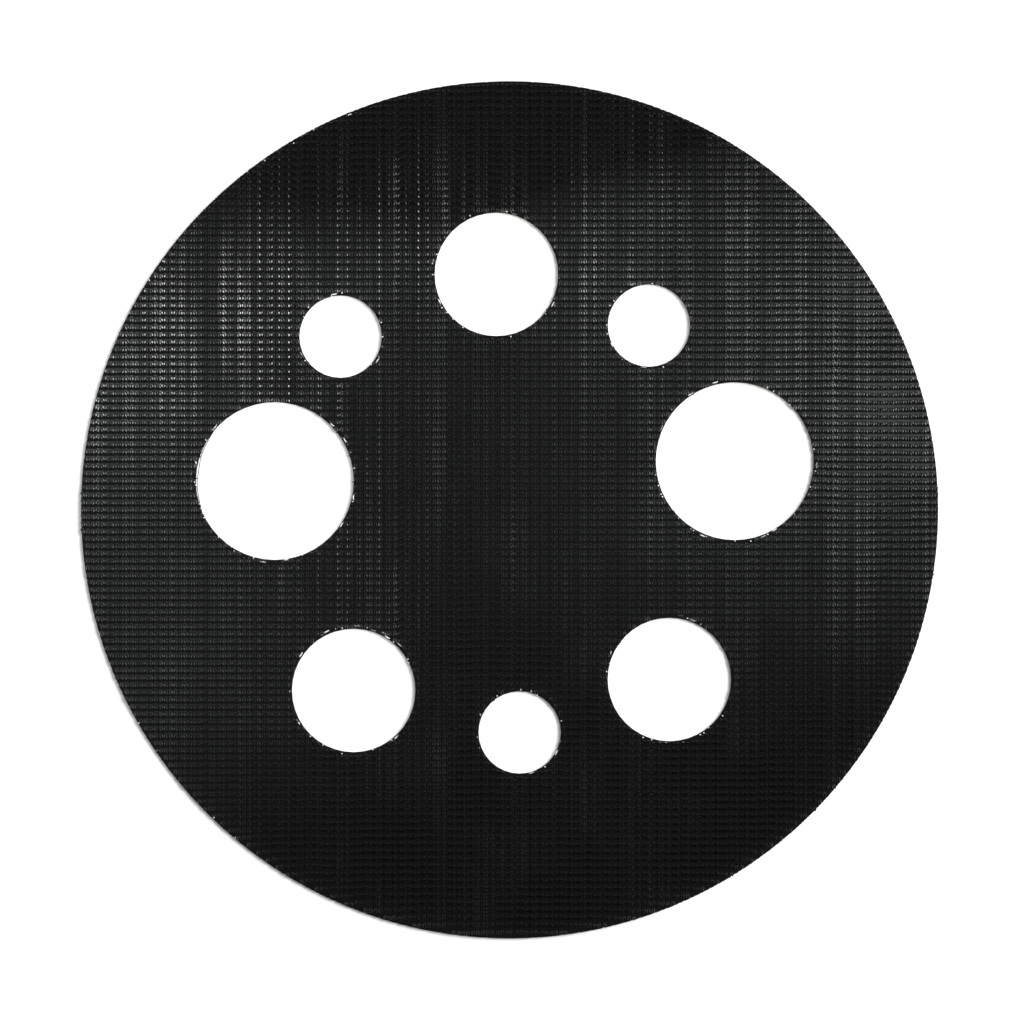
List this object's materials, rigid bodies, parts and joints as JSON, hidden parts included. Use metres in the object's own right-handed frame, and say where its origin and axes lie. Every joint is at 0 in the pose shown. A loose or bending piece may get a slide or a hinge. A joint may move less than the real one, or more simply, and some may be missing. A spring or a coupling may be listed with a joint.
{
  "type": "self-adhesive hook facing disc",
  "caption": "Thin round black hook-and-loop facing for a random-orbit sander's pad, with dust holes of mixed sizes, on a release liner that peels off in halves.",
  "frame": {"origin": "on the bench under the middle of the disc, at the liner's lower face", "axes": "+Z out of the hook face, +X along the rows of hooks, +Y towards the front medium dust hole"},
  "size_m": [0.125, 0.125, 0.0021],
  "materials": {
    "release_liner": "siliconised kraft paper, satin",
    "adhesive": "tacky pressure-sensitive film",
    "back_coating": "matt polyurethane binder",
    "woven_ground": "tight nylon ribs, matt",
    "hooks": "nylon monofilament hooks, satin"
  },
  "bodies": {
    "facing": {"adhesive_film": "adhesive", "back_coating": "back_coating", "woven_ground": "woven_ground", "hook_pile": "hooks"},
    "liner_left": {"release_liner_left": "release_liner"},
    "liner_right": {"release_liner_right": "release_liner"}
  },
  "joints": [
    {"name": "peel_left", "type": "slide", "parent": "facing", "child": "liner_left", "axis": [-1, 0, 0], "range_m": [0, 0.065]},
    {"name": "peel_right", "type": "slide", "parent": "facing", "child": "liner_right", "axis": [1, 0, 0], "range_m": [0, 0.065]}
  ]
}
